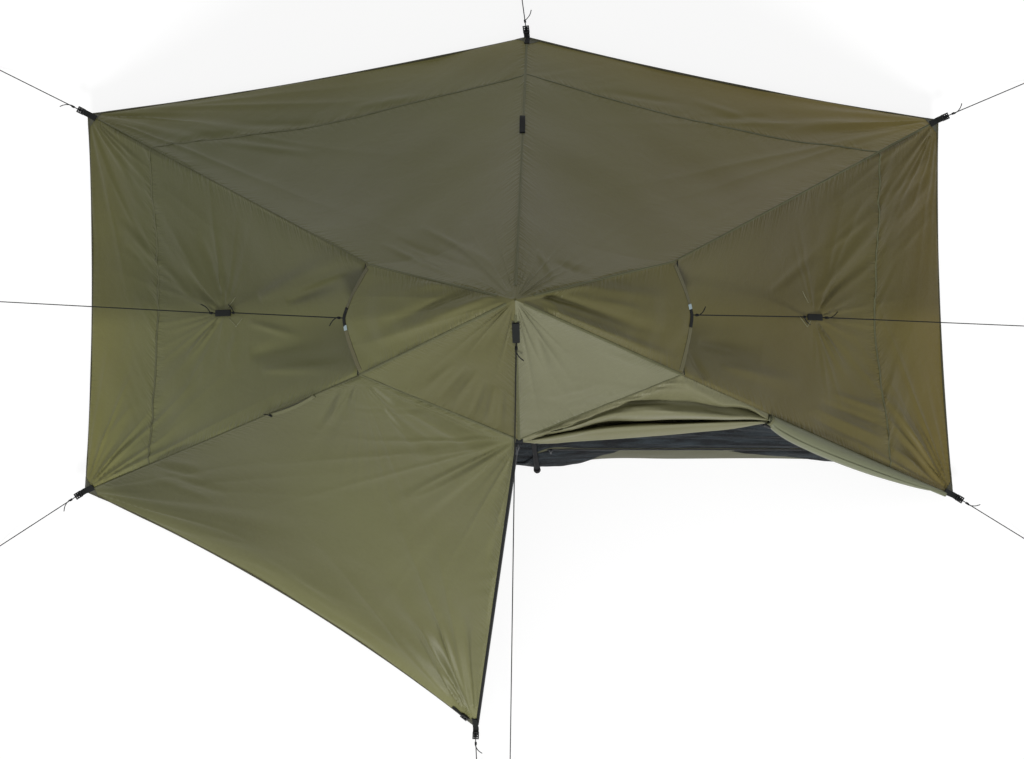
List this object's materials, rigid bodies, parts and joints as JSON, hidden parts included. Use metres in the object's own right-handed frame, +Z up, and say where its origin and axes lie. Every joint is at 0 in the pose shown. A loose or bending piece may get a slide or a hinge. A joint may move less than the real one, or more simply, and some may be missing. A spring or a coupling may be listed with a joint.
{
  "type": "tent",
  "caption": "Olive solo pyramid tent on a front pole, left door zipped shut, right door rolled back beside a mesh wall, hooded side vents and taut black guylines.",
  "frame": {"origin": "on the ground under the peak, at the underside of the bathtub floor", "axes": "+X to the right of someone facing the doors from outside, towards the rolled right door; +Y from the doors to the back; +Z up"},
  "size_m": [3.3371, 2.5152, 1.2384],
  "materials": {
    "fly_fabric": "satin",
    "door_fabric": "satin",
    "door_lining": "satin",
    "floor_fabric": "satin",
    "netting": "matte",
    "webbing": "matte",
    "cord": "matte",
    "zip_fabric": "matte",
    "plastic": "satin",
    "zip_metal": "satin",
    "pole_tube": "satin",
    "foot_rubber": "matte"
  },
  "bodies": {
    "tent": {"back_panel_left": "fly_fabric", "back_panel_right": "fly_fabric", "side_panel_left": "fly_fabric", "side_panel_right": "fly_fabric", "vent_hood_left": "fly_fabric", "vent_hood_right": "fly_fabric", "front_peak_left": "fly_fabric", "front_peak_right": "fly_fabric", "left_door": "door_fabric", "right_door_swag": "door_fabric", "right_door_roll": "door_lining", "tieback_strap": "webbing", "peak_patch": "fly_fabric", "pole_cup": "plastic", "pole_upper": "pole_tube", "pole_clamp": "plastic", "floor_panel": "floor_fabric", "bathtub_wall": "floor_fabric", "mesh_front": "netting", "mesh_skirt_left": "netting", "mesh_skirt_right": "netting", "mesh_skirt_back_left": "netting", "mesh_skirt_back_right": "netting", "vent_mesh_left": "netting", "vent_mesh_right": "netting", "door_zip": "zip_fabric", "inner_zip": "zip_fabric", "peak_loop": "webbing", "side_loop_left": "webbing", "side_loop_right": "webbing", "vent_tab_left": "webbing", "vent_tab_right": "webbing", "corner_lock_back": "plastic", "corner_lock_back_left": "plastic", "corner_lock_back_right": "plastic", "corner_lock_front_left": "plastic", "corner_lock_front_right": "plastic", "corner_lock_door": "plastic", "door_buckle": "plastic", "guy_back": "cord", "guy_back_left": "cord", "guy_back_right": "cord", "guy_front_left": "cord", "guy_front_right": "cord", "guy_door": "cord", "guy_peak": "cord", "guy_left": "cord", "guy_right": "cord", "vent_cord_left": "cord", "vent_cord_right": "cord"},
    "door_slider": {"zip_slider": "zip_metal"},
    "door_pull": {"zip_pull": "zip_metal"},
    "mesh_slider": {"inner_zip_slider": "zip_metal"},
    "mesh_pull": {"inner_zip_pull": "zip_metal"},
    "lower_pole": {"pole_lower": "pole_tube", "pole_foot": "foot_rubber"},
    "lever": {"clamp_lever": "plastic"},
    "toggle": {"tieback_toggle": "plastic"}
  },
  "joints": [
    {"name": "door_zip_slide", "type": "slide", "parent": "tent", "child": "door_slider", "axis": [-0.0979, -0.7299, -0.6765], "range_m": [0, 1.12]},
    {"name": "door_pull_swing", "type": "hinge", "parent": "door_slider", "child": "door_pull", "pos_m": [0.00649, -0.36454, 0.88278], "axis": [-0.9272, 0.3139, -0.2044], "range_deg": [0, 170]},
    {"name": "mesh_zip_slide", "type": "slide", "parent": "tent", "child": "mesh_slider", "axis": [1, 0, 0], "range_m": [0, 0.88]},
    {"name": "mesh_pull_swing", "type": "hinge", "parent": "mesh_slider", "child": "mesh_pull", "pos_m": [0.111, -0.40586, 0.10692], "axis": [-1, 0, 0], "range_deg": [0, 170]},
    {"name": "pole_length", "type": "slide", "parent": "tent", "child": "lower_pole", "axis": [-0.054, 0.3541, 0.9336], "range_m": [0, 0.5]},
    {"name": "clamp_lever_swing", "type": "hinge", "parent": "tent", "child": "lever", "pos_m": [0.05455, -0.26403, 0.5439], "axis": [-0.054, 0.3541, 0.9336], "range_deg": [0, 110]},
    {"name": "toggle_turn", "type": "hinge", "parent": "tent", "child": "toggle", "pos_m": [0.6914, -0.31401, 0.58908], "axis": [-0.3716, -0.9284, 0], "range_deg": [-90, 90]}
  ]
}
